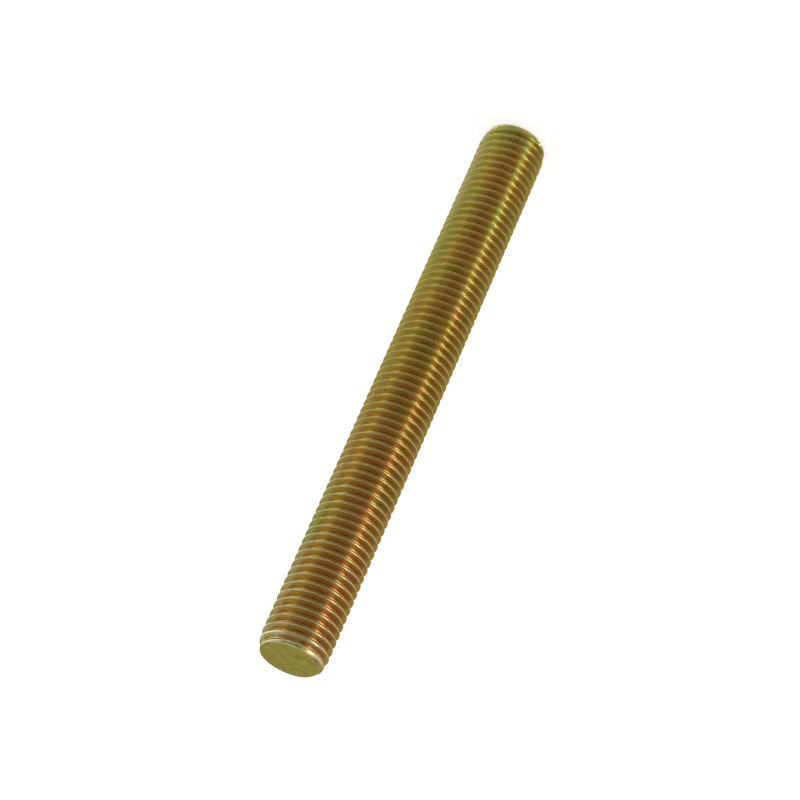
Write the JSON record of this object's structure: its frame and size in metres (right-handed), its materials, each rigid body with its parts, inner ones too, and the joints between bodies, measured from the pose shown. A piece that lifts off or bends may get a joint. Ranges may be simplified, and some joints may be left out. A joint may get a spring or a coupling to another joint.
{
  "type": "threaded rod",
  "caption": "Straight steel rod threaded along its whole length with a right-hand sixty degree thread and flat, gently tapered ends.",
  "frame": {"origin": "centre of the flat foot that the rod stands on", "axes": "+Z along the rod's axis, from the foot to the top end; X and Y are square to it"},
  "size_m": [0.019, 0.019, 0.1778],
  "materials": {
    "yellow_zinc": "yellow chromated zinc plate, semi-bright"
  },
  "bodies": {
    "root": {"rod": "yellow_zinc"}
  },
  "joints": []
}
